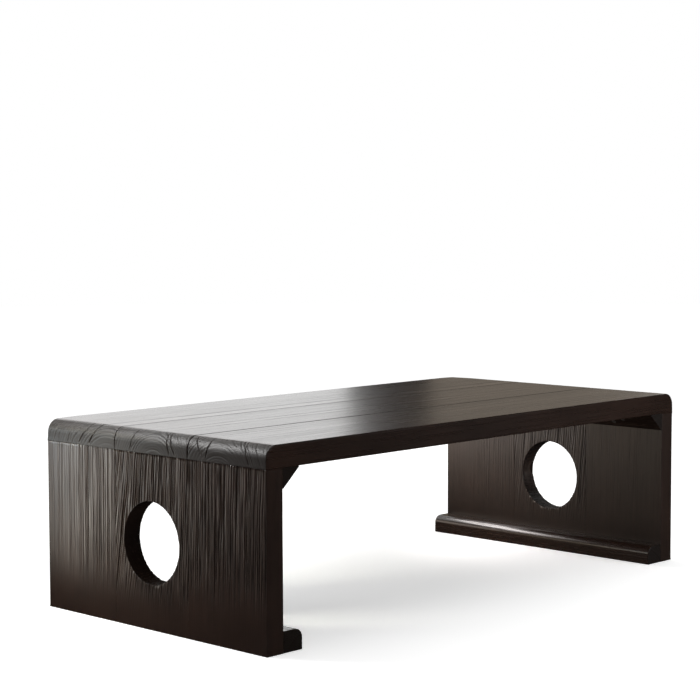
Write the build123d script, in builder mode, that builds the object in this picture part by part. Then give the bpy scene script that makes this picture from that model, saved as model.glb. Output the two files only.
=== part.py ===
"""Low floor table of dark stained, brushed solid wood, in millimetres.

Three planks make the top. It lies over two end panels, each glued up from three upright boards, and its
outer ends are rounded over. A round hand hole goes through the middle board of each panel. A haunch fills
each inner corner, and a rail lies along the inside of each foot. The origin is on the floor under the
middle of the table, +X runs along its length, +Y to its back and +Z up.
"""

import os

from build123d import *

# Overall size
table_length = 1000.0
table_width = 500.0
table_height = 300.0

# Planks of the top and boards of the end panels
top_thickness = 34.0
panel_thickness = 32.0
top_end_round = 20.0
edge_ease = 1.5
board_names = ("front", "middle", "back")
seam_names = ("front", "back")
ends = {"left": -1, "right": 1}

# Round hand hole in the middle board of each panel
hole_board = "middle"
hole_diameter = 125.0
hole_height = 132.0
hole_rim_ease = 1.0

# Haunch in the inner corner
haunch_reach = 33.0
haunch_drop = 30.0
haunch_toe = 2.0

# Rail along the inside of the foot
rail_reach = 38.0
rail_height = 32.0
rail_round = 14.0

# Loose tongues in the seams between boards
tongue_thickness = 8.0
tongue_depth = 8.0
tongue_end_stop = 25.0

# Loose tenons between each panel and the top, two to a board
tenon_thickness = 10.0
tenon_width = 34.0
tenon_depth = 20.0
tenon_spacing = 84.0

# Dowels between each panel and its rail, two to a board
dowel_diameter = 8.0
dowel_depth = 18.0
dowel_spacing = 84.0

# Haunch screws, one up into the top and one out into the panel at each board
screw_setback = 13.0
screw_spacing = 24.0
screw_seat = 8.0
screw_grip = 18.0
screw_shank_diameter = 4.0
screw_head_diameter = 8.0
screw_head_height = 3.0
screw_socket_width = 4.0
screw_socket_depth = 2.0
plug_diameter = 9.0

# Clearances of the flat sided joints and of the round ones
joint_clearance = 0.1
round_clearance = 0.05

# Places worked out from the sizes above
top_underside = table_height - top_thickness
board_width = table_width / len(board_names)
board_places = [(step + 0.5) * board_width - table_width / 2 for step in range(len(board_names))]
seam_places = [(step + 1) * board_width - table_width / 2 for step in range(len(seam_names))]
tenon_places = [y + shift for y in board_places for shift in (-tenon_spacing / 2, tenon_spacing / 2)]
dowel_places = [y + shift for y in board_places for shift in (-dowel_spacing / 2, dowel_spacing / 2)]
upward_screw_places = [y + screw_spacing / 2 for y in board_places]
outward_screw_places = [y - screw_spacing / 2 for y in board_places]
front_plane = Plane.XZ.offset(table_width / 2)
outer_sides = {board_names[0]: 0, board_names[-1]: -1}


def inward(end, offset):
    """X of the place that lies this far inside the outer face of one end."""
    return end * (table_length / 2 - offset)


def save(builder, name):
    """Labels a finished piece and writes it out."""
    builder.part.label = name
    export_step(builder.part, f"parts/{name}.step")


# Screws stand on these planes, at these spots, and point the way that is given


def upward_seat(end):
    """Plane, spots and way of the screws that go up through the haunch into the top."""
    spots = [(inward(end, panel_thickness + screw_setback), y) for y in upward_screw_places]
    return Plane.XY.offset(top_underside - screw_seat), spots, 1


def outward_seat(end):
    """Plane, spots and way of the screws that go out through the haunch into the panel."""
    spots = [(y, top_underside - screw_setback) for y in outward_screw_places]
    return Plane.YZ.offset(inward(end, panel_thickness + screw_seat)), spots, end


def cut_shank_holes(seat):
    """Bores the holes for the screw shanks, from the seat of the heads to past the tips."""
    plane, spots, way = seat
    with BuildSketch(plane) as section:
        with Locations(spots):
            Circle(screw_shank_diameter / 2 + round_clearance)
    extrude(section.sketch, amount=way * (screw_seat + screw_grip + joint_clearance), mode=Mode.SUBTRACT)


def cut_counterbores(seat):
    """Opens the haunch's sloping face down to the seat of the screw heads."""
    plane, spots, way = seat
    with BuildSketch(plane) as section:
        with Locations(spots):
            Circle(plug_diameter / 2 + round_clearance)
    extrude(section.sketch, amount=-way * (haunch_reach + haunch_drop), mode=Mode.SUBTRACT)


def add_screws(seat):
    """Round headed wood screws with a hexagon socket, their heads on the seat."""
    plane, spots, way = seat
    with BuildSketch(plane) as section:
        with Locations(spots):
            Circle(screw_head_diameter / 2)
    extrude(section.sketch, amount=-way * screw_head_height)
    with BuildSketch(plane) as section:
        with Locations(spots):
            Circle(screw_shank_diameter / 2)
    extrude(section.sketch, amount=way * (screw_seat + screw_grip))
    with BuildSketch(plane.offset(-way * screw_head_height)) as section:
        with Locations(spots):
            RegularPolygon(screw_socket_width / 2, 6, major_radius=False)
    extrude(section.sketch, amount=way * screw_socket_depth, mode=Mode.SUBTRACT)


def add_plugs(seat):
    """Round plugs over the screw heads, longer than the haunch is deep."""
    plane, spots, way = seat
    with BuildSketch(plane.offset(-way * screw_head_height)) as section:
        with Locations(spots):
            Circle(plug_diameter / 2)
    extrude(section.sketch, amount=-way * (haunch_reach + haunch_drop))


def haunch_profile(end, mode=Mode.ADD):
    """Runs the haunch's section from the front face of the table to its back face."""
    with BuildSketch(front_plane) as section:
        with BuildLine():
            Polyline(
                (inward(end, panel_thickness), top_underside),
                (inward(end, panel_thickness + haunch_reach), top_underside),
                (inward(end, panel_thickness + haunch_reach), top_underside - haunch_toe),
                (inward(end, panel_thickness + haunch_toe), top_underside - haunch_drop),
                (inward(end, panel_thickness), top_underside - haunch_drop),
                close=True,
            )
        make_face()
    extrude(section.sketch, amount=-table_width, mode=mode)


def tenons(end, clearance=0.0, mode=Mode.ADD):
    """The round edged tenons of one end or, with a clearance, their sockets."""
    with BuildSketch(Plane.XY.offset(top_underside)) as section:
        with Locations([(inward(end, panel_thickness / 2), y) for y in tenon_places]):
            SlotOverall(tenon_width + 2 * clearance, tenon_thickness + 2 * clearance, rotation=90)
    extrude(section.sketch, amount=tenon_depth + clearance, both=True, mode=mode)


def dowels(end, radial_clearance=0.0, end_clearance=0.0, mode=Mode.ADD):
    """The dowels of one foot or, with clearances, their holes."""
    with BuildSketch(Plane.YZ.offset(inward(end, panel_thickness))) as section:
        with Locations([(y, rail_height / 2) for y in dowel_places]):
            Circle(dowel_diameter / 2 + radial_clearance)
    extrude(section.sketch, amount=dowel_depth + end_clearance, both=True, mode=mode)


def top_tongues(places, clearance=0.0, mode=Mode.ADD):
    """Tongues in the seams of the top or, with a clearance, their grooves."""
    with BuildSketch(Plane.XY.offset(top_underside + top_thickness / 2)) as section:
        with Locations([(0, y) for y in places]):
            Rectangle(table_length - 2 * tongue_end_stop + 2 * clearance, 2 * (tongue_depth + clearance))
    extrude(section.sketch, amount=tongue_thickness / 2 + clearance, both=True, mode=mode)


def panel_tongues(end, places, clearance=0.0, mode=Mode.ADD):
    """Tongues in the seams of one panel or, with a clearance, their grooves."""
    with BuildSketch(Plane.YZ.offset(inward(end, panel_thickness / 2))) as section:
        with Locations([(y, top_underside / 2) for y in places]):
            Rectangle(2 * (tongue_depth + clearance), top_underside - 2 * tongue_end_stop + 2 * clearance)
    extrude(section.sketch, amount=tongue_thickness / 2 + clearance, both=True, mode=mode)


def make_top_plank(name, board_y):
    """One plank of the top, with rounded ends, grooves, tenon sockets and screw holes."""
    with BuildPart() as plank:
        with BuildSketch(Plane.XZ.offset(-board_y - board_width / 2)) as section:
            with Locations((0, table_height - top_thickness / 2)):
                Rectangle(table_length, top_thickness)
            fillet(section.vertices().group_by(Axis.Y)[-1], radius=top_end_round)
        extrude(amount=board_width)
        if name in outer_sides:
            outer_face = plank.faces().filter_by(Axis.Y).sort_by(Axis.Y)[outer_sides[name]]
            upper_edges = outer_face.edges().sort_by(Axis.Z)[1:]
            fillet(upper_edges, radius=edge_ease)
        top_tongues(seam_places, joint_clearance, Mode.SUBTRACT)
        for end in ends.values():
            tenons(end, joint_clearance, Mode.SUBTRACT)
            cut_shank_holes(upward_seat(end))
    save(plank, f"top_plank_{name}")


def make_panel_board(end_name, end, name, board_y):
    """One upright board of an end panel. The middle one has the round hand hole."""
    with BuildPart() as board:
        with BuildSketch(Plane.XY):
            with Locations((inward(end, panel_thickness / 2), board_y)):
                Rectangle(panel_thickness, board_width)
        extrude(amount=top_underside)
        if name in outer_sides:
            upright_edges = board.edges().filter_by(Axis.Z).group_by(Axis.Y)[outer_sides[name]]
            outer_edge = upright_edges.sort_by(Axis.X)[0 if end < 0 else -1]
            fillet(outer_edge, radius=edge_ease)
        if name == hole_board:
            with BuildSketch(Plane.YZ.offset(inward(end, panel_thickness / 2))):
                with Locations((board_y, hole_height)):
                    Circle(hole_diameter / 2)
            extrude(amount=panel_thickness, both=True, mode=Mode.SUBTRACT)
            fillet(board.edges().filter_by(GeomType.CIRCLE), radius=hole_rim_ease)
        panel_tongues(end, seam_places, joint_clearance, Mode.SUBTRACT)
        tenons(end, joint_clearance, Mode.SUBTRACT)
        dowels(end, round_clearance, joint_clearance, Mode.SUBTRACT)
        cut_shank_holes(outward_seat(end))
    save(board, f"{end_name}_panel_board_{name}")


def make_haunch(end_name, end):
    """The strip in the inner corner, bored and counterbored for its screws."""
    with BuildPart() as haunch:
        haunch_profile(end)
        for seat in (upward_seat(end), outward_seat(end)):
            cut_shank_holes(seat)
            cut_counterbores(seat)
    save(haunch, f"{end_name}_haunch")


def make_haunch_screws(end_name, end):
    """All the screws of one haunch."""
    with BuildPart() as screws:
        add_screws(upward_seat(end))
        add_screws(outward_seat(end))
    save(screws, f"{end_name}_haunch_screws")


def make_haunch_plugs(end_name, end):
    """The plugs over one haunch's screws, cut flush with its sloping face."""
    with BuildPart() as plugs:
        add_plugs(upward_seat(end))
        add_plugs(outward_seat(end))
        haunch_profile(end, Mode.INTERSECT)
    save(plugs, f"{end_name}_haunch_plugs")


def make_foot_rail(end_name, end):
    """The rail along the inside of one foot, its upper inner edge a large round."""
    with BuildPart() as rail:
        with BuildSketch(front_plane) as section:
            with Locations((inward(end, panel_thickness + rail_reach / 2), rail_height / 2)):
                Rectangle(rail_reach, rail_height)
            upper_corners = section.vertices().group_by(Axis.Y)[-1].sort_by(Axis.X)
            fillet(upper_corners[-1 if end < 0 else 0], radius=rail_round)
        extrude(amount=-table_width)
        dowels(end, round_clearance, joint_clearance, Mode.SUBTRACT)
    save(rail, f"{end_name}_foot_rail")


def make_small_joinery(end_name, end):
    """The hidden tenons, dowels and tongues of one end."""
    with BuildPart() as corner_tenons:
        tenons(end)
    save(corner_tenons, f"{end_name}_corner_tenons")
    with BuildPart() as foot_dowels:
        dowels(end)
    save(foot_dowels, f"{end_name}_foot_dowels")
    for seam_name, seam_y in zip(seam_names, seam_places):
        with BuildPart() as tongue:
            panel_tongues(end, [seam_y])
        save(tongue, f"{end_name}_panel_tongue_{seam_name}")


os.makedirs("parts", exist_ok=True)

for board_name, place in zip(board_names, board_places):
    make_top_plank(board_name, place)

for seam_name, place in zip(seam_names, seam_places):
    with BuildPart() as top_tongue:
        top_tongues([place])
    save(top_tongue, f"top_tongue_{seam_name}")

for end_name, end in ends.items():
    for board_name, place in zip(board_names, board_places):
        make_panel_board(end_name, end, board_name, place)
    make_haunch(end_name, end)
    make_haunch_screws(end_name, end)
    make_haunch_plugs(end_name, end)
    make_foot_rail(end_name, end)
    make_small_joinery(end_name, end)
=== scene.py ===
"""Dressed model of a low floor table in dark stained, wire brushed solid wood.

Three planks make the top, three upright boards make each end panel, a haunch fills each inner corner and a
rail lies along the inside of each foot. Each visible board is rebuilt as a closed mesh whose faces carry the
growth rings that brushing has laid bare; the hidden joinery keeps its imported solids. All lengths are metres
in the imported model's own frame: the origin is on the floor under the middle of the table, +X runs along its
length, +Y to its back and +Z up.
"""

import logging
import math
from dataclasses import dataclass, replace
from enum import Enum
from typing import Sequence

import bpy
import numpy as np
from mathutils import Matrix, Vector
from mathutils.geometry import delaunay_2d_cdt


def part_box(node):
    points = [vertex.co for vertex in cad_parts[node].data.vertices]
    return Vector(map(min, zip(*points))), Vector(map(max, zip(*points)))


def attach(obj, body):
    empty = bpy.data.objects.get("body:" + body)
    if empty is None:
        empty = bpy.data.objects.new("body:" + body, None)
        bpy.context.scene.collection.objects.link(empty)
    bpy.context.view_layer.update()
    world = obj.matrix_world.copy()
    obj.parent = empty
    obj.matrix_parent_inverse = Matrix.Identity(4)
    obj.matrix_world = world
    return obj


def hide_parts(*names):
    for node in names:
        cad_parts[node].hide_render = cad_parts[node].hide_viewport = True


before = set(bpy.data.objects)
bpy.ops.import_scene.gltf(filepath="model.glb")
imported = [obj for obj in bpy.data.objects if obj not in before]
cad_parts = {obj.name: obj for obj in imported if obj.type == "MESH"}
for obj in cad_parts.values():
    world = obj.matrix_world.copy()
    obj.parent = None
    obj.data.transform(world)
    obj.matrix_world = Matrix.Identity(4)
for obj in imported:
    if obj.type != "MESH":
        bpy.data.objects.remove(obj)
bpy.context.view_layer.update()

log = logging.getLogger("low_table")

MM = 0.001
BODY = "root"

Colour = tuple[float, float, float]
Spot = tuple[float, float, float]
Span = tuple[float, float]
Row = tuple[np.ndarray, np.ndarray]


class End(Enum):
    """The two ends of the table, each with the sign of its X."""

    LEFT = -1
    RIGHT = 1

    @property
    def word(self) -> str:
        """The end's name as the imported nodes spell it."""
        return self.name.lower()


class Place(Enum):
    """Where a board lies across the table's width."""

    FRONT = "front"
    MIDDLE = "middle"
    BACK = "back"


class Run(Enum):
    """The way a board's grain runs, as its axes across, through and along."""

    LENGTH = (1, 2, 0)
    DEPTH = (0, 2, 1)
    HEIGHT = (1, 0, 2)


# --- Noise ---


def smooth(share: np.ndarray) -> np.ndarray:
    """A share from 0 to 1 that starts and ends gently."""
    return share * share * (3 - 2 * share)


class Noise:
    """Smooth seeded noise on a square lattice, from -1 to 1."""

    size = 256

    def __init__(self, seed: int) -> None:
        """Draws the lattice from the seed."""
        self.lattice = np.random.default_rng(seed).uniform(-1.0, 1.0, (self.size, self.size))

    def at(self, u: np.ndarray, v: np.ndarray) -> np.ndarray:
        """Noise at each pair of coordinates, one lattice step to the unit.

        Args:
            u: First coordinates.
            v: Second coordinates, as many.

        Returns:
            One value for each pair.
        """
        u0, v0 = np.floor(u), np.floor(v)
        fu, fv = smooth(u - u0), smooth(v - v0)
        i, j = u0.astype(int) % self.size, v0.astype(int) % self.size
        i1, j1 = (i + 1) % self.size, (j + 1) % self.size
        low = self.lattice[i, j] * (1 - fu) + self.lattice[i1, j] * fu
        high = self.lattice[i, j1] * (1 - fu) + self.lattice[i1, j1] * fu
        return low * (1 - fv) + high * fv


@dataclass(frozen=True)
class Wave:
    """One layer of noise: its weight, its cells' size along both coordinates, and where it starts."""

    weight: float
    first: float
    second: float
    start: Span = (0.0, 0.0)

    def at(self, noise: Noise, u: np.ndarray, v: np.ndarray) -> np.ndarray:
        """The layer's height at each pair of coordinates."""
        return self.weight * noise.at(u / self.first + self.start[0], v / self.second + self.start[1])


@dataclass(frozen=True)
class Strand:
    """Noise drawn out along the grain: how wide, long and thick its cells are, and where it starts."""

    wide: float
    long: float
    thick: float
    start: float = 0.0

    def at(self, noise: Noise, across: np.ndarray, along: np.ndarray, through: np.ndarray) -> np.ndarray:
        """The strands' height at each place, from -1 to 1."""
        return noise.at(across / self.wide + self.start, along / self.long + through / self.thick)


# --- Board shapes ---


@dataclass(frozen=True)
class Corner:
    """A corner of an outline in X and Z, its round, and the spacing of the rows up to the next corner."""

    x: float
    z: float
    radius: float
    steps: int
    spacing: float


class Outline:
    """Closed convex outline in X and Z, clockwise as the front of the table shows it."""

    def __init__(self, corners: Sequence[Corner]) -> None:
        """Traces the rounds and the straight sides between them.

        Args:
            corners: The corners in clockwise order.
        """
        places = [np.array((corner.x, corner.z)) for corner in corners]
        count = len(corners)
        ways = [places[(i + 1) % count] - places[i] for i in range(count)]
        ways = [way / np.linalg.norm(way) for way in ways]
        arcs = [self._arc(corner, ways[i - 1], ways[i]) for i, corner in enumerate(corners)]
        points, normals, rounds = [], [], []
        for i, corner in enumerate(corners):
            arc, turned = arcs[i]
            first, last = arc[-1], arcs[(i + 1) % count][0][0]
            parts = max(1, round(float(np.linalg.norm(last - first)) / corner.spacing))
            share = (np.arange(1, parts) / parts)[:, None]
            points += [arc, first + (last - first) * share]
            normals += [turned, np.tile((-ways[i][1], ways[i][0]), (parts - 1, 1))]
            rounds += [np.full(len(arc), corner.radius), np.full(parts - 1, math.inf)]
        self.points = np.concatenate(points)
        self.normals = np.concatenate(normals)
        self.rounds = np.concatenate(rounds)

    @staticmethod
    def _arc(corner: Corner, before: np.ndarray, after: np.ndarray) -> Row:
        """The round of one corner.

        Args:
            corner: The corner.
            before: Direction of the side that leads to it.
            after: Direction of the side that leaves it.

        Returns:
            The round's points and outward normals.
        """
        turn = math.atan2(before[1] * after[0] - before[0] * after[1], float(before @ after))
        outward = np.array((-before[1], before[0]))
        start = np.array((corner.x, corner.z)) - before * corner.radius * math.tan(turn / 2)
        centre = start - outward * corner.radius
        angles = np.linspace(0.0, turn, corner.steps + 1)
        cos, sin = np.cos(angles)[:, None], np.sin(angles)[:, None]
        turned = outward * cos + np.array((outward[1], -outward[0])) * sin
        return centre + turned * corner.radius, turned


def joined(rows: Sequence[Row]) -> Row:
    """Rows of points and normals, end to end."""
    return np.concatenate([row[0] for row in rows]), np.concatenate([row[1] for row in rows])


def bands(rings: np.ndarray) -> np.ndarray:
    """Quads between neighbouring closed rings of vertices, by ring and point."""
    outer, inner = rings[:-1], rings[1:]
    return np.stack((outer, np.roll(outer, -1, 1), np.roll(inner, -1, 1), inner), -1)


def box_outline(low: Vector, high: Vector, corners: Sequence[tuple[float, int, float]]) -> Outline:
    """Outline of a box in X and Z.

    Args:
        low: The box's lowest corner.
        high: Its highest corner.
        corners: Round, steps and spacing of each corner: lower left, upper left, upper right, lower right.

    Returns:
        The outline.
    """
    spots = ((low.x, low.z), (low.x, high.z), (high.x, high.z), (high.x, low.z))
    return Outline([Corner(*spot, *corner) for spot, corner in zip(spots, corners)])


@dataclass
class Shell:
    """Vertices with their outward normals, and the faces between them."""

    points: np.ndarray
    normals: np.ndarray
    faces: list[np.ndarray]

    def add(self, points: np.ndarray, normals: np.ndarray) -> int:
        """Appends vertices.

        Args:
            points: Their places.
            normals: Their outward normals.

        Returns:
            The number of the first one.
        """
        first = len(self.points)
        self.points = np.concatenate((self.points, points))
        self.normals = np.concatenate((self.normals, normals))
        return first

    def tidy(self) -> None:
        """Drops the vertices that no face uses."""
        used = np.zeros(len(self.points), bool)
        for group in self.faces:
            used[group.ravel()] = True
        number = np.cumsum(used) - 1
        self.faces = [number[group] for group in self.faces]
        self.points, self.normals = self.points[used], self.normals[used]


@dataclass(frozen=True)
class Hole:
    """Round hand hole through a board along X, with the frame of finer faces that leads up to it.

    The frame's rings crowd towards the rim, so that the chips there have faces to show them.
    """

    across: float
    height: float
    radius: float
    rim: float = 1.2 * MM
    margin: float = 8 * MM
    rings: int = 22
    crowding: float = 0.85
    rim_steps: int = 4
    wall_steps: int = 22

    def sleeve(self, edge: np.ndarray, near_x: float, far_x: float) -> list[Row]:
        """Rings of vertices from the frame on one face, through the hole, to the frame on the other.

        Args:
            edge: The frame's points in Y and Z, from the hole's middle.
            near_x: X of the face that looks to -X.
            far_x: X of the face that looks to +X.

        Returns:
            Points and normals of each ring.
        """
        ray = edge / np.linalg.norm(edge, axis=1)[:, None]
        mouth = ray * (self.radius + self.rim)
        shares = (np.arange(1, self.rings) / self.rings) ** self.crowding
        fans = [edge + (mouth - edge) * share for share in shares]
        angles = np.linspace(0.0, math.pi / 2, self.rim_steps + 1)
        depths = np.linspace(near_x + self.rim, far_x - self.rim, self.wall_steps + 1)[1:-1]
        rings = [self._ring(ray, fan, near_x, -1.0, 0.0) for fan in fans]
        rings += [self._rim(ray, near_x, -1.0, angle) for angle in angles]
        rings += [self._ring(ray, ray * self.radius, x, 0.0, 1.0) for x in depths]
        rings += [self._rim(ray, far_x, 1.0, angle) for angle in angles[::-1]]
        rings += [self._ring(ray, fan, far_x, 1.0, 0.0) for fan in fans[::-1]]
        return rings

    def _ring(self, ray: np.ndarray, flat: np.ndarray, x: float, lean: float, inward: float) -> Row:
        """One ring of vertices.

        Args:
            ray: The ring's directions from the hole's middle.
            flat: Its points in Y and Z, from the hole's middle.
            x: Its X.
            lean: How far its normals turn to +X.
            inward: How far they turn to the hole's middle.

        Returns:
            The ring's points and normals.
        """
        level, facing = np.full((len(ray), 1), x), np.full((len(ray), 1), lean)
        place = np.concatenate((level, flat + np.array((self.across, self.height))), 1)
        return place, np.concatenate((facing, -ray * inward), 1)

    def _rim(self, ray: np.ndarray, face_x: float, way: float, angle: float) -> Row:
        """One ring of the eased rim.

        Args:
            ray: The ring's directions from the hole's middle.
            face_x: X of the board's face.
            way: -1 on the face that looks to -X, 1 on the other.
            angle: How far round the rim the ring lies, 0 on the face.

        Returns:
            The ring's points and normals.
        """
        sin, cos = math.sin(angle), math.cos(angle)
        flat = ray * (self.radius + self.rim - self.rim * sin)
        return self._ring(ray, flat, face_x - way * self.rim * (1 - cos), way * cos, sin)


@dataclass
class Sweep:
    """A closed board: an outline run along Y, its long edges eased, both ends capped.

    An ease never takes up all of a corner's own round, so the end faces keep their corners.
    """

    outline: Outline
    front: float
    back: float
    column: float
    front_ease: np.ndarray | float
    back_ease: np.ndarray | float
    cap_grid: Span
    hole: Hole | None = None
    ease_steps: int = 3
    round_share: float = 0.85
    clear_share: float = 0.35
    weld: float = 1e-7
    flat_facing: float = 0.999

    def shell(self) -> Shell:
        """Builds the plain shape.

        Returns:
            The closed shell, before any relief.
        """
        count = len(self.outline.points)
        widest = self.round_share * self.outline.rounds
        front_ease, back_ease = np.minimum(self.front_ease, widest), np.minimum(self.back_ease, widest)
        quarter = math.pi / 2
        angles = np.linspace(0.0, quarter, self.ease_steps + 1)
        inner_front = self.front + float(front_ease.max()) + self.column / 2
        inner_back = self.back - float(back_ease.max()) - self.column / 2
        parts = max(1, round((inner_back - inner_front) / self.column))
        rows = [self._row(front_ease, self.front, -1.0, angle) for angle in angles]
        for y in np.linspace(inner_front, inner_back, parts + 1):
            rows.append(self._row(np.zeros(count), y, 1.0, quarter))
        rows += [self._row(back_ease, self.back, 1.0, angle) for angle in angles[::-1]]
        shell = Shell(*joined(rows), [])
        grid = np.arange(len(rows) * count).reshape(len(rows), count)
        kept = np.ones((len(rows) - 1, count), bool)
        if self.hole is not None:
            self._open(shell, grid, kept, self.hole)
        shell.faces.append(bands(grid)[kept])
        self._cap(shell, grid[0], -1.0)
        self._cap(shell, grid[-1], 1.0)
        shell.tidy()
        return shell

    def _row(self, ease: np.ndarray, edge: float, way: float, angle: float) -> Row:
        """One row of vertices round the board.

        Args:
            ease: The end face's eased edge at each point, 0 where there is none.
            edge: Y of the end face, or of the row itself where there is no ease.
            way: -1 at the front end, 1 at the back end.
            angle: How far round the edge the row lies, 0 on the end face.

        Returns:
            The row's points and normals.
        """
        drawn = self.outline.points - self.outline.normals * (ease * (1 - math.sin(angle)))[:, None]
        level = edge - way * ease * (1 - math.cos(angle))
        turned = self.outline.normals * math.sin(angle)
        facing = np.full(len(drawn), way * math.cos(angle))
        return (
            np.stack((drawn[:, 0], level, drawn[:, 1]), -1),
            np.stack((turned[:, 0], facing, turned[:, 1]), -1),
        )

    def _cap(self, shell: Shell, loop: np.ndarray, way: float) -> None:
        """Fills one end face with an even net of triangles.

        Args:
            shell: The board so far.
            loop: The vertices round the end face.
            way: -1 at the front end, 1 at the back end.
        """
        border = shell.points[loop][:, (0, 2)]
        lines = [
            np.linspace(low, high, max(2, round((high - low) / step)) + 1)[1:-1]
            for low, high, step in zip(border.min(0), border.max(0), self.cap_grid)
        ]
        net = np.stack(np.meshgrid(*lines, indexing="ij"), -1).reshape(-1, 2)
        clear = np.full(len(net), np.inf)
        for point, normal in zip(border, self.outline.normals):
            clear = np.minimum(clear, -((net - point) @ normal))
        net = net[clear > self.clear_share * min(self.cap_grid)]
        level = np.full(len(net), shell.points[loop[0]][1])
        first = shell.add(
            np.stack((net[:, 0], level, net[:, 1]), -1), np.tile((0.0, way, 0.0), (len(net), 1))
        )
        spots = [Vector(spot) for spot in np.concatenate((border, net)).tolist()]
        inside_only = 1
        made = delaunay_2d_cdt(spots, [], [list(range(len(loop)))], inside_only, self.weld, True)
        source = np.array([origins[0] for origins in made[3]])
        triangles = source[np.array(made[2])]
        around = ((np.roll(triangles, -1, 1) - triangles) % len(loop)).sum(1)
        outside = (triangles.max(1) < len(loop)) & (around == len(loop))
        number = np.concatenate((loop, first + np.arange(len(net))))
        triangles = number[triangles[~outside]]
        shell.faces.append(triangles if way < 0 else triangles[:, ::-1])

    def _open(self, shell: Shell, grid: np.ndarray, kept: np.ndarray, hole: Hole) -> None:
        """Opens a round hole from one X face to the other, with its own rings of faces.

        Args:
            shell: The board so far.
            grid: Vertex numbers by row along Y and point of the outline.
            kept: Which quads stay, by row and point.
            hole: The hole.
        """
        points, facing = shell.points, self.outline.normals[:, 0]
        reach = hole.radius + hole.margin
        near = np.abs(self.outline.points[:, 1] - hole.height) <= reach
        rising = np.flatnonzero(near & (facing < -self.flat_facing))
        falling = np.flatnonzero(near & (facing > self.flat_facing))[::-1]
        columns = np.flatnonzero(np.abs(points[grid[:, 0]][:, 1] - hole.across) <= reach)
        for side in (rising, falling):
            kept[columns[0] : columns[-1], side.min() : side.max()] = False
        top = len(rising) - 1
        steps = [(columns[0], row) for row in range(top + 1)]
        steps += [(column, top) for column in columns[1:]]
        steps += [(columns[-1], row) for row in range(top - 1, -1, -1)]
        steps += [(column, 0) for column in columns[-2:0:-1]]
        near_ring = np.array([grid[column, rising[row]] for column, row in steps])
        far_ring = np.array([grid[column, falling[row]] for column, row in steps])
        edge = points[near_ring][:, 1:] - (hole.across, hole.height)
        rings = hole.sleeve(edge, points[near_ring[0]][0], points[far_ring[0]][0])
        first = shell.add(*joined(rings))
        middle = first + np.arange(len(rings) * len(edge)).reshape(len(rings), len(edge))
        sleeve = np.concatenate((near_ring[None], middle, far_ring[None]))
        shell.faces.append(bands(sleeve).reshape(-1, 4))


# --- Growth of the wood ---


@dataclass
class Relief:
    """What brushing and use have done at each vertex: how deep they went, and what shows there."""

    depth: np.ndarray
    valley: np.ndarray
    ring: np.ndarray
    end: np.ndarray


@dataclass(frozen=True)
class Check:
    """Drying crack that shows on end grain: a line in the board's section with its width and depth."""

    start: Span
    stop: Span
    width: float = 1.5 * MM
    depth: float = 1.2 * MM
    tip_share: float = 0.35

    def cut(self, across: np.ndarray, through: np.ndarray) -> np.ndarray:
        """How far into the crack each place of the section lies.

        Args:
            across: Places across the board.
            through: Places through its thickness.

        Returns:
            From 0 outside the crack to 1 along its middle.
        """
        start, stop = np.array(self.start), np.array(self.stop)
        way = stop - start
        place = np.stack((across, through), -1) - start
        share = np.clip(place @ way / (way @ way), 0.0, 1.0)
        off = np.linalg.norm(place - share[:, None] * way, axis=1)
        taper = self.tip_share + (1 - self.tip_share) * np.sqrt(np.sin(np.pi * share))
        return np.exp(-((2 * off / (self.width * taper)) ** 2))


@dataclass(frozen=True)
class Calm:
    """Stretch of a board that is brushed less: where it starts, how soon it is full, how much is lost."""

    start: float
    width: float
    share: float = 0.85
    lengthwise: bool = False

    def kept(self, across: np.ndarray, along: np.ndarray) -> np.ndarray:
        """The share of the relief that stays at each place, 1 outside the stretch."""
        place = along if self.lengthwise else across
        return 1 - self.share * smooth(np.clip((place - self.start) / self.width, 0.0, 1.0))


@dataclass(frozen=True)
class Spots:
    """Places on a board: across, through and along the grain, X of their normals, share of end grain."""

    across: np.ndarray
    through: np.ndarray
    along: np.ndarray
    facing: np.ndarray
    end: np.ndarray


@dataclass(frozen=True)
class Bands:
    """The growth rings at each place: pale late wood, brushed early wood, depth of the cut, strength."""

    crest: np.ndarray
    groove: np.ndarray
    cut: np.ndarray
    strength: np.ndarray


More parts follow.
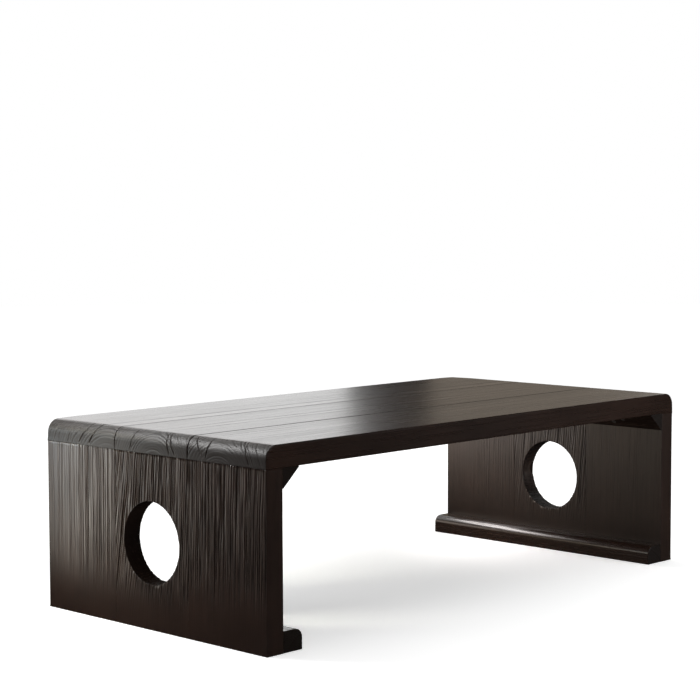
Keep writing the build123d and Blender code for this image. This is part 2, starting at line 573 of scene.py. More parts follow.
@dataclass(frozen=True)
class Growth:
    """The tree's growth in one board: its pith, its rings, and how deeply each face is brushed.

    The rings are cylinders round the pith that sway along the grain. Brushing cuts a groove in the soft
    early wood just past each ring and leaves the hard late wood standing as a crest.
    """

    seed: int
    run: Run
    pith: Span
    narrow: float
    wide: float
    face_depth: float
    end_depth: float = 0.5 * MM
    reach: float = 1.0
    groove: float = 1.5 * MM
    groove_spread: float = 0.55
    crest: float = 1.2 * MM
    level: float = 0.3
    level_fall: float = 0.6
    weakest: float = 0.35
    faint_odds: float = 0.3
    faint_share: float = 0.4
    bold: float = 1.0
    inner_share: float = 1.0
    outer_side: float = 0.0
    lean: float = 0.0
    spread: float = 0.0
    middle: float = 0.0
    sway: float = 1.2 * MM
    sways: tuple[Wave, ...] = (
        Wave(1.0, 90 * MM, 35 * MM),
        Wave(0.5, 90 * MM / 2.7, 11 * MM, (31.0, 0.0)),
        Wave(0.28, 10 * MM, 6 * MM, (11.0, 0.0)),
    )
    end_sway: Wave = Wave(0.5, 9 * MM, 9 * MM, (7.0, 3.0))
    end_gain: float = 1.6
    end_delay: float = 0.1
    patchy: float = 0.6
    patches: tuple[Wave, ...] = (
        Wave(1.0, 1 / 7.31, 70 * MM),
        Wave(0.6, 1 / 3.7, 24 * MM, (50.0, 0.0)),
    )
    patch_level: float = 0.85
    patch_limits: Span = (0.1, 1.3)
    fibre_depth: float = 0.07 * MM
    end_fibre_loss: float = 0.6
    fine_fibre: Strand = Strand(0.9 * MM, 40 * MM, 3 * MM)
    coarse_fibre: Strand = Strand(2.3 * MM, 90 * MM, 5 * MM, 50.0)
    coarse_share: float = 0.6
    line: Strand = Strand(1.7 * MM, 45 * MM, 7 * MM, 90.0)
    line_depth: float = 0.0
    line_tone: float = 0.0
    valley_tone: float = 0.9
    groove_tone: float = 1.2
    groove_power: float = 1.5
    groove_end_loss: float = 0.15
    fibre_tone: float = 0.12
    crack_tone: float = 1.2
    crack_sway: float = 0.5
    calm: tuple[Calm, ...] = ()
    checks: tuple[Check, ...] = ()

    def relief(self, points: np.ndarray, normals: np.ndarray) -> Relief:
        """Works out the brushed surface.

        Args:
            points: Places on the plain shape.
            normals: Outward normals there.

        Returns:
            The relief at each place.
        """
        end = np.clip(np.abs(normals[:, self.run.value[2]]) * self.end_gain - self.end_delay, 0.0, 1.0)
        spots = Spots(*(points[:, axis] for axis in self.run.value), normals[:, 0], end)
        drift, kept = self._drift(spots), self._kept(spots)
        here = spots.across - (self.lean + self.spread * spots.across) * (spots.along - self.middle) + drift
        rings = self._rings(replace(spots, across=here))
        strength = rings.strength * kept
        depth = (self.face_depth * (1 - end) + self.end_depth * end) * strength * rings.cut
        fibre = Noise(self.seed + 3)
        strands = (self.fine_fibre, self.coarse_fibre, self.line)
        fine, coarse, line = (strand.at(fibre, here, spots.along, spots.through) for strand in strands)
        hair = 0.5 + 0.5 * fine + self.coarse_share * (0.5 + 0.5 * coarse)
        depth = depth + self.fibre_depth * hair * (1 - self.end_fibre_loss * end) * kept
        dark = self.groove_tone * rings.groove**self.groove_power * (1 - self.groove_end_loss * end)
        dark = np.clip(dark + self.fibre_tone * hair - rings.crest, 0.0, 1.0)
        line = line * (1 - end) * kept
        depth = depth + self.line_depth * (line + 1) * kept
        valley = self.valley_tone * dark * strength + self.line_tone * np.clip(line, 0.0, 1.0)
        for check in self.checks:
            crack = check.cut(spots.across + self.crack_sway * drift, spots.through) * end
            depth = depth + check.depth * crack
            valley = valley + self.crack_tone * crack
        pale = rings.crest * strength + self.line_tone * np.clip(-line, 0.0, 1.0)
        return Relief(depth, np.clip(valley, 0.0, 1.0), pale, end)

    def _drift(self, spots: Spots) -> np.ndarray:
        """How far the rings have swayed across the board.

        Args:
            spots: The places.

        Returns:
            The sway at each place.
        """
        noise = Noise(self.seed + 1)
        drift = sum(wave.at(noise, spots.along, spots.across) for wave in self.sways)
        return self.sway * (drift + spots.end * self.end_sway.at(noise, spots.across, spots.through))

    def _kept(self, spots: Spots) -> np.ndarray:
        """How strongly each place is brushed; end grain always fully.

        Args:
            spots: The places.

        Returns:
            The strength at each place.
        """
        outer = np.clip(0.5 + 0.5 * self.outer_side * spots.facing, 0.0, 1.0)
        kept = self.bold * (self.inner_share + (1 - self.inner_share) * outer)
        for calm in self.calm:
            kept = kept * calm.kept(spots.across, spots.along)
        return kept * (1 - spots.end) + spots.end

    def _rings(self, spots: Spots) -> Bands:
        """The growth rings at each place.

        Args:
            spots: The places, with the rings' lean and sway added across the board.

        Returns:
            The rings.
        """
        draw = np.random.default_rng(self.seed)
        count = int(self.reach / (self.narrow + self.wide) * 2)
        edges = np.cumsum(draw.uniform(self.narrow, self.wide, count))
        strengths = draw.uniform(self.weakest, 1.0, count)
        strengths[draw.random(count) < self.faint_odds] *= self.faint_share
        radius = np.hypot(spots.across - self.pith[0], spots.through - self.pith[1])
        number = np.clip(np.searchsorted(edges, radius), 1, len(edges) - 1)
        after, before = radius - edges[number - 1], edges[number] - radius
        share = np.clip(after / (edges[number] - edges[number - 1]), 0.0, 1.0)
        crest = np.exp(-((before / self.crest) ** 2))
        crest = np.maximum(crest, np.exp(-((2 * after / self.crest) ** 2)))
        groove = np.exp(-(((after - self.groove) / (self.groove_spread * self.groove)) ** 2))
        cut = groove * (1 - self.level) + self.level * (1 - crest) * (1 - self.level_fall * share)
        noise = Noise(self.seed + 2)
        fade = sum(wave.at(noise, number, spots.along) for wave in self.patches)
        fade = np.clip(self.patch_level + self.patchy * fade * (1 - spots.end), *self.patch_limits)
        return Bands(crest, groove, cut, strengths[number] * fade)


# --- Marks of making and use ---


Traces = tuple[np.ndarray, np.ndarray, np.ndarray]


@dataclass(frozen=True)
class Seam:
    """Fine dark joint line along one edge of a board."""

    level: float
    width: float
    depth: float

    def mark(self, points: np.ndarray, normals: np.ndarray) -> Traces:
        """Depth, darkness and paleness of the joint line at each vertex."""
        near = np.exp(-(((points[:, 1] - self.level) / self.width) ** 2))
        return self.depth * near, near, np.zeros(len(points))


@dataclass(frozen=True)
class Chips:
    """Bored hole's marks: its wall drawn darker and matt, which is painted shade inside the hole, and chipped
    fibres round the rim, most below, drawn paler, partly their own colour and partly a painted highlight
    where the lower rim catches the light.
    """

    across: float
    height: float
    radius: float
    # Share of painted shade laid on the hole's wall.
    wall: float
    seed: int = 5
    bites: tuple[Wave, ...] = (
        Wave(1.0, 2.2 * MM, 2.0 * MM),
        Wave(0.6, 1.1 * MM, 1.2 * MM, (9.0, 0.0)),
    )
    raised: float = 0.35
    depth: float = 0.9 * MM
    reach: float = 3.5 * MM
    below: float = 0.9
    above_share: float = 0.15
    # Paleness of the chips: partly the fibres' own colour, partly a painted highlight for light caught on the
    # lower rim.
    pale_gain: float = 3.2
    pale_delay: float = 0.2

    def mark(self, points: np.ndarray, normals: np.ndarray) -> Traces:
        """Works out the wall's painted shade and the chips.

        Args:
            points: Places on the plain shape.
            normals: Outward normals there.

        Returns:
            Depth, darkness and paleness at each vertex.
        """
        flat = points[:, 1:] - (self.across, self.height)
        far = np.hypot(flat[:, 0], flat[:, 1])
        angle = np.arctan2(flat[:, 0], -flat[:, 1])
        noise = Noise(self.seed)
        bite = sum(wave.at(noise, angle * self.radius, points[:, 0]) for wave in self.bites)
        below = self.above_share + (1 - self.above_share) * np.exp(-((angle / self.below) ** 2))
        rim = np.exp(-(((far - self.radius) / self.reach) ** 2))
        chipped = np.clip(bite, -self.raised, 1.0) * rim * below
        # Painted shade: the hole's wall drawn darker by the share wall, standing in for the shade inside the
        # hole.
        wall = self.wall * (far < self.radius + self.reach) * (1 - np.abs(normals[:, 0]))
        # The pale share is partly a painted highlight on the lower rim.
        return self.depth * chipped, wall, np.clip(self.pale_gain * chipped - self.pale_delay, 0.0, 1.0)


@dataclass(frozen=True)
class SoftCorner:
    """A corner that hands have worn lower and rounder."""

    spot: Spot
    reach: float
    depth: float

    def mark(self, points: np.ndarray, normals: np.ndarray) -> Traces:
        """Depth, darkness and paleness of the wear at each vertex."""
        away = np.linalg.norm(points - self.spot, axis=1) / self.reach
        return self.depth * np.exp(-(away**2)), np.zeros(len(points)), np.zeros(len(points))


Mark = Seam | Chips | SoftCorner


# --- Finishes ---


FULL: Span = (0.0, 1.0)
MOST_NOISE: Span = (0.3, 0.7)


@dataclass(frozen=True)
class Pattern:
    """Noise over a surface: its cells to the metre across and along the grain, detail, roughness, warp."""

    across: float
    along: float
    detail: float
    rough: float
    warp: float = 0.0


class Graph:
    """Small helper that wires one material's nodes."""

    def __init__(self, name: str) -> None:
        """Starts an empty material.

        Args:
            name: The material's name.
        """
        self.material = bpy.data.materials.new(name)
        self.material.use_nodes = True
        self.tree = self.material.node_tree
        self.tree.nodes.clear()

    def node(
        self, kind: str, inputs: dict[str | int, object] | None = None, **settings: object
    ) -> bpy.types.Node:
        """Adds a node.

        Args:
            kind: Blender's name for its type.
            inputs: Sockets to set or to link, by name or number.
            **settings: Properties of the node.

        Returns:
            The new node.
        """
        made = self.tree.nodes.new(kind)
        for key, value in settings.items():
            setattr(made, key, value)
        for key, value in (inputs or {}).items():
            if isinstance(value, bpy.types.NodeSocket):
                self.tree.links.new(value, made.inputs[key])
            else:
                made.inputs[key].default_value = value
        return made

    def noise(self, pattern: Pattern, run: Run = Run.HEIGHT) -> bpy.types.NodeSocket:
        """Noise over the object's own coordinates, drawn out along the grain.

        Args:
            pattern: The noise's look.
            run: The way the grain runs.

        Returns:
            The noise, from 0 to 1.
        """
        cells = [pattern.across] * 3
        cells[run.value[2]] = pattern.along
        place = self.node("ShaderNodeTexCoord").outputs["Object"]
        place = self.node("ShaderNodeMapping", {"Vector": place, "Scale": cells}).outputs["Vector"]
        look = {"Detail": pattern.detail, "Roughness": pattern.rough, "Distortion": pattern.warp}
        return self.node("ShaderNodeTexNoise", {"Vector": place, "Scale": 1.0, **look}).outputs["Fac"]

    def mapped(self, value: bpy.types.NodeSocket, old: Span, new: Span) -> bpy.types.NodeSocket:
        """A value's range stretched onto another, and clamped to it."""
        inputs = {"Value": value, "From Min": old[0], "From Max": old[1], "To Min": new[0], "To Max": new[1]}
        return self.node("ShaderNodeMapRange", inputs, clamp=True).outputs["Result"]

    def math(self, way: str, first: object, second: object) -> bpy.types.NodeSocket:
        """A sum, product or the like of two values."""
        return self.node("ShaderNodeMath", {0: first, 1: second}, operation=way).outputs[0]

    def mix(self, share: object, first: object, second: object, way: str = "MIX") -> bpy.types.NodeSocket:
        """Two colours mixed by a share, through the mix node's colour sockets."""
        inputs = {0: share, 6: first, 7: second}
        return self.node("ShaderNodeMix", inputs, data_type="RGBA", blend_type=way).outputs[2]

    def read(self, name: str) -> bpy.types.NodeSocket:
        """A number that the mesh holds at each vertex."""
        return self.node("ShaderNodeAttribute", attribute_name=name).outputs["Fac"]

    def bump(self, height: bpy.types.NodeSocket, strength: float, distance: float) -> bpy.types.NodeSocket:
        """Normals turned by a relief too fine for the mesh."""
        inputs = {"Strength": strength, "Distance": distance, "Height": height}
        return self.node("ShaderNodeBump", inputs).outputs[0]

    def finish(self, inputs: dict[str | int, object]) -> bpy.types.Material:
        """Ends the material with its shader.

        Args:
            inputs: The shader's sockets.

        Returns:
            The material.
        """
        shader = self.node("ShaderNodeBsdfPrincipled", inputs)
        self.node("ShaderNodeOutputMaterial", {"Surface": shader.outputs[0]})
        return self.material


def opaque(colour: Colour) -> tuple[float, float, float, float]:
    """A colour with full alpha."""
    return (*colour, 1.0)


@dataclass(frozen=True)
class BrushedWood:
    """Dark stained wood whose soft rings are brushed back, under a thin satin wax."""

    name: str
    run: Run
    crest: Colour = (0.046, 0.030, 0.022)
    ridge: Colour = (0.0200, 0.0094, 0.0058)
    valley: Colour = (0.0090, 0.0044, 0.0028)
    end: Colour = (0.0110, 0.0064, 0.0046)
    valley_span: Span = (0.05, 0.75)
    crest_span: Span = (0.2, 1.0)
    crest_cover: float = 0.9
    ridge_roughness: float = 0.33
    valley_roughness: float = 0.60
    end_roughness: float = 0.52
    rough_span: Span = (0.0, 0.8)
    ridge_specular: float = 0.6
    valley_specular: float = 0.06
    end_specular: float = 0.20
    crest_gloss: float = 1.6
    gloss_span: Span = (0.1, 1.0)
    fibre: Pattern = Pattern(1300.0, 24.0, 3.0, 0.6)
    streak: Pattern = Pattern(286.0, 7.2, 2.0, 0.5)
    cloud: Pattern = Pattern(9.0, 9.0, 3.0, 0.55)
    fibre_shade: Span = (0.86, 1.12)
    streak_shade: Span = (0.88, 1.1)
    cloud_shade: Span = (0.8, 1.2)
    streak_roughness: Span = (-0.02, 0.02)
    fibre_bump: float = 0.2
    crest_bump: float = 0.3
    bump_height: float = 0.12 * MM

    def material(self) -> bpy.types.Material:
        """Builds the material: ring colours from the mesh, fibres, pores and stain from noise.

        Returns:
            The material.
        """
        graph = Graph(self.name)
        valley, ring, end = (graph.read(name) for name in ("valley", "ring", "end_grain"))
        fibre, streak, cloud = (graph.noise(look, self.run) for look in (self.fibre, self.streak, self.cloud))
        # The valley share also carries the painted shade of the left hole's wall.
        deep = graph.mapped(valley, self.valley_span, FULL)
        tone = graph.mix(deep, opaque(self.ridge), opaque(self.valley))
        pale = graph.mapped(ring, self.crest_span, (0.0, self.crest_cover))
        tone = graph.mix(pale, tone, opaque(self.crest))
        tone = graph.mix(end, tone, opaque(self.end))
        shade = graph.mapped(fibre, MOST_NOISE, self.fibre_shade)
        for noise, span in ((streak, self.streak_shade), (cloud, self.cloud_shade)):
            shade = graph.math("MULTIPLY", shade, graph.mapped(noise, MOST_NOISE, span))
        grey = graph.node("ShaderNodeCombineColor", {0: shade, 1: shade, 2: shade}).outputs[0]
        tone = graph.mix(1.0, tone, grey, "MULTIPLY")
        rough = graph.mapped(valley, self.rough_span, (self.ridge_roughness, self.valley_roughness))
        rough = graph.math("ADD", rough, graph.mapped(streak, MOST_NOISE, self.streak_roughness))
        rough = graph.math("MAXIMUM", rough, graph.math("MULTIPLY", end, self.end_roughness))
        gloss = graph.mapped(end, FULL, (self.ridge_specular, self.end_specular))
        dull = graph.mapped(valley, self.valley_span, (1.0, self.valley_specular / self.ridge_specular))
        gloss = graph.math("MULTIPLY", gloss, dull)
        gloss = graph.math("MULTIPLY", gloss, graph.mapped(ring, self.gloss_span, (1.0, self.crest_gloss)))
        height = graph.math("ADD", fibre, graph.math("MULTIPLY", ring, self.crest_bump))
        normal = graph.bump(height, self.fibre_bump, self.bump_height)
        return graph.finish(
            {"Base Color": tone, "Roughness": rough, "Specular IOR Level": gloss, "Normal": normal}
        )


@dataclass(frozen=True)
class PlainCoat:
    """Two tones in a broad pattern, with roughness and bump from a fine one.

    Its own values are those of bare hardwood: growth lines, and fine pores along the grain.
    """

    name: str
    run: Run
    pale: Colour = (0.46, 0.30, 0.17)
    dark: Colour = (0.30, 0.18, 0.095)
    broad: Pattern = Pattern(420.0, 9.0, 3.0, 0.55, 0.4)
    broad_span: Span = (0.35, 0.65)
    most_dark: float = 1.0
    fine: Pattern = Pattern(1500.0, 60.0, 2.0, 0.6)
    roughness: Span = (0.5, 0.68)
    metallic: float = 0.0
    bump: float = 0.3
    bump_height: float = 0.1 * MM

    def material(self) -> bpy.types.Material:
        """Builds the material.

        Returns:
            The material.
        """
        graph = Graph(self.name)
        broad, fine = graph.noise(self.broad, self.run), graph.noise(self.fine, self.run)
        share = graph.mapped(broad, self.broad_span, (0.0, self.most_dark))
        tone = graph.mix(share, opaque(self.pale), opaque(self.dark))
        rough = graph.mapped(fine, MOST_NOISE, self.roughness)
        normal = graph.bump(fine, self.bump, self.bump_height)
        inputs = {"Base Color": tone, "Metallic": self.metallic, "Roughness": rough, "Normal": normal}
        return graph.finish(inputs)


BARE_WOOD = PlainCoat("bare_wood_upright", Run.HEIGHT)
PLUG_WOOD = PlainCoat("plug_wood", Run.DEPTH, (0.030, 0.024, 0.019), (0.012, 0.009, 0.007))
PLATED_STEEL = PlainCoat(
    "plated_steel",
    Run.HEIGHT,
    pale=(0.62, 0.62, 0.60),
    dark=(0.42, 0.40, 0.33),
    broad=Pattern(900.0, 900.0, 3.0, 0.6),
    broad_span=MOST_NOISE,
    most_dark=0.5,
    fine=Pattern(150.0, 4000.0, 1.0, 0.5),
    roughness=(0.24, 0.4),
    metallic=1.0,
    bump=0.2,
    bump_height=0.05 * MM,
)


@dataclass(frozen=True)
class StageFinish:
    """Plain pale finish of the floor, which glows a little as a lit table does."""

    name: str
    colour: Colour = (0.9, 0.9, 0.9)
    glow: float = 0.55
    mottle: Pattern = Pattern(3.0, 3.0, 2.0, 0.5)
    roughness: Span = (0.9, 1.0)

    def material(self) -> bpy.types.Material:
        """Builds the material: an even matt coat with a faint mottle.

        Returns:
            The material.
        """
        graph = Graph(self.name)
        rough = graph.mapped(graph.noise(self.mottle), MOST_NOISE, self.roughness)
        coat = {"Base Color": opaque(self.colour), "Roughness": rough, "Specular IOR Level": 0.0}
        return graph.finish({**coat, "Emission Color": opaque(self.colour), "Emission Strength": self.glow})


# --- Pieces ---


def enter(name: str, data: bpy.types.ID) -> bpy.types.Object:
    """Puts a new object into the scene.

    Args:
        name: The object's name.
        data: Its mesh, light or camera.

    Returns:
        The new object.
    """
    made = bpy.data.objects.new(name, data)
    bpy.context.scene.collection.objects.link(made)
    return made


def make_mesh(name: str, shell: Shell, relief: Relief) -> bpy.types.Object:
    """Turns a shell into a smooth mesh object and stores what its material reads.

    Args:
        name: The object's name.
        shell: The closed surface, already brushed.
        relief: What shows at each vertex.

    Returns:
        The new object.
    """
    mesh = bpy.data.meshes.new(name)
    sizes = np.concatenate([np.full(len(group), group.shape[1]) for group in shell.faces])
    corners = np.concatenate([group.ravel() for group in shell.faces])
    mesh.vertices.add(len(shell.points))
    mesh.vertices.foreach_set("co", shell.points.astype(np.float32).ravel())
    mesh.loops.add(len(corners))
    mesh.loops.foreach_set("vertex_index", corners.astype(np.int32))
    mesh.polygons.add(len(sizes))
    starts = np.concatenate(((0,), np.cumsum(sizes)[:-1]))
    mesh.polygons.foreach_set("loop_start", starts.astype(np.int32))
    mesh.polygons.foreach_set("use_smooth", np.ones(len(sizes), bool))
    for key, values in (("valley", relief.valley), ("ring", relief.ring), ("end_grain", relief.end)):
        mesh.attributes.new(key, "FLOAT", "POINT").data.foreach_set("value", values.astype(np.float32))
    mesh.update(calc_edges=True)
    return enter(name, mesh)


@dataclass
class Board:
    """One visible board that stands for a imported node.

    Where it rests on another piece at rest_level, the relief dies out over the height hold.
    """

    node: str
    slot: str
    sweep: Sweep
    growth: Growth
    finish: bpy.types.Material
    marks: Sequence[Mark] = ()
    rest_level: float | None = None
    hold: float = 2.0 * MM

    def build(self) -> bpy.types.Object:
        """Makes the board, brushes it, dresses it and hands it to the frame.

        Returns:
            The new piece.
        """
        shell = self.sweep.shell()
        relief = self.growth.relief(shell.points, shell.normals)
        for mark in self.marks:
            # A mark's darkness joins the valley share; on the hole's wall that darkness is painted shade.
            deep, dark, pale = mark.mark(shell.points, shell.normals)
            relief.depth = relief.depth + deep
            relief.valley = np.clip(relief.valley + dark, 0.0, 1.0)
            relief.ring = relief.ring * (1 - dark) + pale
        relief.depth = np.maximum(relief.depth, 0.0)
        if self.rest_level is not None:
            above = (shell.points[:, 2] - self.rest_level) / self.hold
            relief.depth = relief.depth * np.clip(above, 0.0, 1.0)
        shell.points = shell.points - shell.normals * relief.depth[:, None]
        piece = make_mesh(f"dressed_{self.node}", shell, relief)
        piece.data.materials.append(self.finish)
        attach(piece, BODY)
        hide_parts(self.node)
        return piece


def end_eases(place: Place, outer: np.ndarray, seam: float) -> tuple[np.ndarray | float, ...]:
    """Eases of a board's front and back end: the outer one where no board joins it, else the seam's."""
    return tuple(outer if place is free else seam for free in (Place.FRONT, Place.BACK))


FRONT_EDGE = Calm(-247.5 * MM, -2 * MM)
PLANK = Growth(
    seed=0,
    run=Run.LENGTH,
    pith=(0.0, 0.0),
    narrow=3 * MM,
    wide=7 * MM,
    face_depth=0.11 * MM,
    end_depth=0.8 * MM,
)
PLANKS: dict[Place, Growth] = {
    Place.FRONT: replace(
        PLANK,
        seed=11,
        pith=(-0.150, 0.236),
        narrow=3.5 * MM,
        wide=8 * MM,
        calm=(FRONT_EDGE,),
        checks=(
            Check((-0.095, 0.300), (-0.118, 0.272)),
            Check((-0.131, 0.300), (-0.124, 0.272)),
            Check((-0.202, 0.298), (-0.214, 0.270), 1.4 * MM, 0.9 * MM),
        ),
    ),
    Place.MIDDLE: replace(
        PLANK,
        seed=23,
        pith=(-0.008, 0.242),
        checks=(
            Check((0.037, 0.300), (0.048, 0.268), 1.5 * MM, 0.9 * MM),
            Check((-0.032, 0.300), (-0.043, 0.268)),
            Check((-0.038, 0.300), (-0.056, 0.268)),
        ),
    ),
    Place.BACK: replace(
        PLANK,
        seed=37,
        pith=(0.100, 0.225),
        narrow=5 * MM,
        wide=11 * MM,
        calm=(Calm(165 * MM, 30 * MM),),
        checks=(
            Check((0.146, 0.300), (0.170, 0.270), 1.9 * MM),
            Check((0.125, 0.300), (0.145, 0.270), 1.9 * MM),
        ),
    ),
}


@dataclass
class TableTop:
    """The three planks of the top, their ends rounded over."""

    finish: bpy.types.Material
    end_round: float = 20 * MM
    round_steps: int = 36
    seam_ease: float = 0.3 * MM
    front_ease: float = 1.5 * MM
    under_ease: float = 0.3 * MM
    under_steps: int = 3
    ease_rise: float = 1.5
    column: float = 0.7 * MM
    end_row: float = 1.2 * MM
    top_row: float = 6 * MM
    under_row: float = 10 * MM
    cap_grid: Span = (7 * MM, 2.4 * MM)
    front_seam: Span = (1.8 * MM, 0.8 * MM)
    middle_seam: Span = (1.2 * MM, 0.4 * MM)
    back_seam: Span = (1.0 * MM, 0.3 * MM)
    worn_reach: float = 30 * MM
    worn_depth: float = 1.2 * MM
    hold: float = 6 * MM

    def marks(self, place: Place, low: Vector, high: Vector) -> list[Mark]:
        """What shows on one plank besides its grain.

        Args:
            place: Which plank it is.
            low: Lowest corner of its box.
            high: Highest corner.

        Returns:
            Its joint lines and worn corners.
        """
        if place is Place.FRONT:
            return [Seam(high.y, *self.front_seam)]
        if place is Place.MIDDLE:
            return [Seam(low.y, *self.middle_seam), Seam(high.y, *self.middle_seam)]
        worn = [SoftCorner((x, high.y, high.z), self.worn_reach, self.worn_depth) for x in (low.x, high.x)]
        return [Seam(low.y, *self.back_seam), *worn]

    def build(self) -> list[bpy.types.Object]:
        """Builds the planks from front to back.

        Returns:
            The planks.
        """
        under, over = (self.under_ease, self.under_steps), (self.end_round, self.round_steps)
        rows = (self.end_row, self.top_row, self.end_row, self.under_row)
        corners = [(*kind, row) for kind, row in zip((under, over, over, under), rows)]
        pieces = []
        for place in Place:
            node = f"top_plank_{place.value}"
            low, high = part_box(node)
            outline = box_outline(low, high, corners)
            upper = (outline.points[:, 1] - low.z) / (high.z - low.z) * self.ease_rise
            outer = self.under_ease + (self.front_ease - self.under_ease) * np.clip(upper, 0.0, 1.0)
            eases = end_eases(place, outer, self.seam_ease)
            sweep = Sweep(outline, low.y, high.y, self.column, *eases, self.cap_grid)
            marks = self.marks(place, low, high)
            board = Board(node, "top_wood", sweep, PLANKS[place], self.finish, marks, low.z, self.hold)
            pieces.append(board.build())
        return pieces


FOOT = Calm(110 * MM, -80 * MM, 0.95, lengthwise=True)
PANEL = Growth(
    seed=0,
    run=Run.HEIGHT,
    pith=(-0.42, 0.44),
    narrow=2.6 * MM,
    wide=6.6 * MM,
    face_depth=1.0 * MM,
    groove=1.25 * MM,
    level=0.10,
    weakest=0.6,
    inner_share=0.35,
    patchy=0.35,
    line_depth=0.14 * MM,
    line_tone=0.7,
    calm=(FOOT,),
)
PANEL_BOARDS: dict[Place, Growth] = {
    Place.FRONT: replace(
        PANEL,
        seed=101,
        lean=-0.03,
        crest=0.9 * MM,
        bold=1.5,
        calm=(replace(FOOT, start=125 * MM), FRONT_EDGE),
    ),
    Place.MIDDLE: replace(PANEL, seed=211, lean=-0.10, spread=-0.6, crest=1.15 * MM, bold=1.9),
    Place.BACK: replace(
        PANEL, seed=307, lean=-0.01, crest=1.1 * MM, bold=0.9, calm=(FOOT, Calm(150 * MM, 30 * MM, 0.5))
    ),
}


@dataclass
class EndPanel:
    """The three upright boards of one end, the middle one with its round hand hole."""

    end: End
    finish: bpy.types.Material
    hole_radius: float = 62.5 * MM
    hole_height: float = 132 * MM
    seam_ease: float = 0.3 * MM
    arris: float = 1.5 * MM
    corner_ease: float = 0.3 * MM
    corner_steps: int = 2
    column: float = 0.45 * MM
    face_row: float = 3.4 * MM
    edge_row: float = 4 * MM
    cap_grid: Span = (2.4 * MM, 4 * MM)
    right_seed: int = 17
    right_calm: Calm = Calm(-60 * MM, -40 * MM, 0.7)

    def growth(self, place: Place) -> Growth:
        """How the wood of one board grew.

        Args:
            place: Which board it is.

        Returns:
            Its growth: the left end's boards fan out a little, the right end's stand straight.
        """
        wood = PANEL_BOARDS[place]
        across, through = wood.pith
        side = self.end.value
        wood = replace(wood, pith=(across, side * through), outer_side=side, middle=self.hole_height)
        if self.end is End.LEFT:
            return wood
        calm = wood.calm + ((self.right_calm,) if place is Place.FRONT else ())
        return replace(wood, seed=wood.seed + self.right_seed, spread=0.0, calm=calm)

    def build(self) -> list[bpy.types.Object]:
        """Builds the boards from front to back.

        Returns:
            The boards.
        """
        pieces = []
        for place in Place:
            node = f"{self.end.word}_panel_board_{place.value}"
            low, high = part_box(node)
            rows = (self.face_row, self.edge_row) * 2
            outline = box_outline(low, high, [(self.corner_ease, self.corner_steps, row) for row in rows])
            outward = np.clip(outline.normals[:, 0] * self.end.value, 0.0, 1.0)
            outer = self.corner_ease + (self.arris - self.corner_ease) * outward
            eases = end_eases(place, outer, self.seam_ease)
            sweep = Sweep(outline, low.y, high.y, self.column, *eases, self.cap_grid)
            marks: list[Mark] = []
            if place is Place.MIDDLE:
                bore = (0.0, self.hole_height, self.hole_radius)
                sweep.hole = Hole(*bore)
                # The left hole's wall gets painted shade, the right one's none.
                marks.append(Chips(*bore, wall=1.0 if self.end is End.LEFT else 0.0))
            board = Board(node, "panel_wood", sweep, self.growth(place), self.finish, marks, low.z)
            pieces.append(board.build())
        return pieces


@dataclass
class Strip:
    """A strip that runs across the table along the inside of one end."""

    end: End
    finish: bpy.types.Material
    word: str
    slot: str
    wood: Growth
    ease: float
    ease_steps: int = 2
    column: float = 3 * MM
    fine_row: float = 0.8 * MM
    cap_grid: Span = (2 * MM, 2 * MM)

    def outline(self, low: Vector, high: Vector) -> Outline:
        """The strip's section in X and Z, which each kind of strip draws for itself."""
        raise NotImplementedError

    def build(self) -> list[bpy.types.Object]:
        """Builds the strip, its rings drawn for its own end.

        Returns:
            The strip alone.
        """
        node = f"{self.end.word}_{self.word}"
        low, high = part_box(node)
        outline = self.outline(low, high)
        sweep = Sweep(outline, low.y, high.y, self.column, self.ease, self.ease, self.cap_grid)
        side, (across, through) = self.end.value, self.wood.pith
        wood = replace(self.wood, seed=self.wood.seed + side, pith=(side * across, through))
        return [Board(node, self.slot, sweep, wood, self.finish).build()]


@dataclass
class CornerHaunch(Strip):
    """The strip that fills one inner corner under the top, its lower corner cut back to a toe."""

    word: str = "haunch"
    slot: str = "haunch_wood"
    wood: Growth = Growth(61, Run.DEPTH, (0.36, 0.42), 2.5 * MM, 6 * MM, 0.2 * MM)
    ease: float = 0.5 * MM
    toe: float = 2 * MM

    def outline(self, low: Vector, high: Vector) -> Outline:
        """Draws the haunch's section in X and Z.

        Args:
            low: Lowest corner of its box.
            high: Highest corner.

        Returns:
            The section.
        """
        left = self.end is End.LEFT
        wall, tip = (low.x, high.x) if left else (high.x, low.x)
        fine = (self.ease, self.ease_steps, self.fine_row)
        corners = [
            Corner(wall, low.z, *fine),
            Corner(wall, high.z, self.ease, self.ease_steps, self.column),
            Corner(tip, high.z, *fine),
            Corner(tip, high.z - self.toe, *fine),
            Corner(wall - self.end.value * self.toe, low.z, *fine),
        ]
        return Outline(corners if left else corners[::-1])


@dataclass
class FootRail(Strip):
    """The rail along the inside of one foot, its upper inner edge a large round."""

    word: str = "foot_rail"
    slot: str = "rail_wood"
    wood: Growth = Growth(83, Run.DEPTH, (0.40, -0.05), 2.5 * MM, 7 * MM, 0.15 * MM)
    ease: float = 1.0 * MM
    inner_round: float = 14 * MM
    round_steps: int = 26

    def outline(self, low: Vector, high: Vector) -> Outline:
        """Draws the rail's section in X and Z.

        Args:
            low: Lowest corner of its box.
            high: Highest corner.

        Returns:
            The section.
        """
        small = (self.ease, self.ease_steps, self.fine_row)
        large = (self.inner_round, self.round_steps, self.fine_row)
        upper = (small, large) if self.end is End.LEFT else (large, small)
        return box_outline(low, high, (small, *upper, (self.ease, self.ease_steps, self.column)))


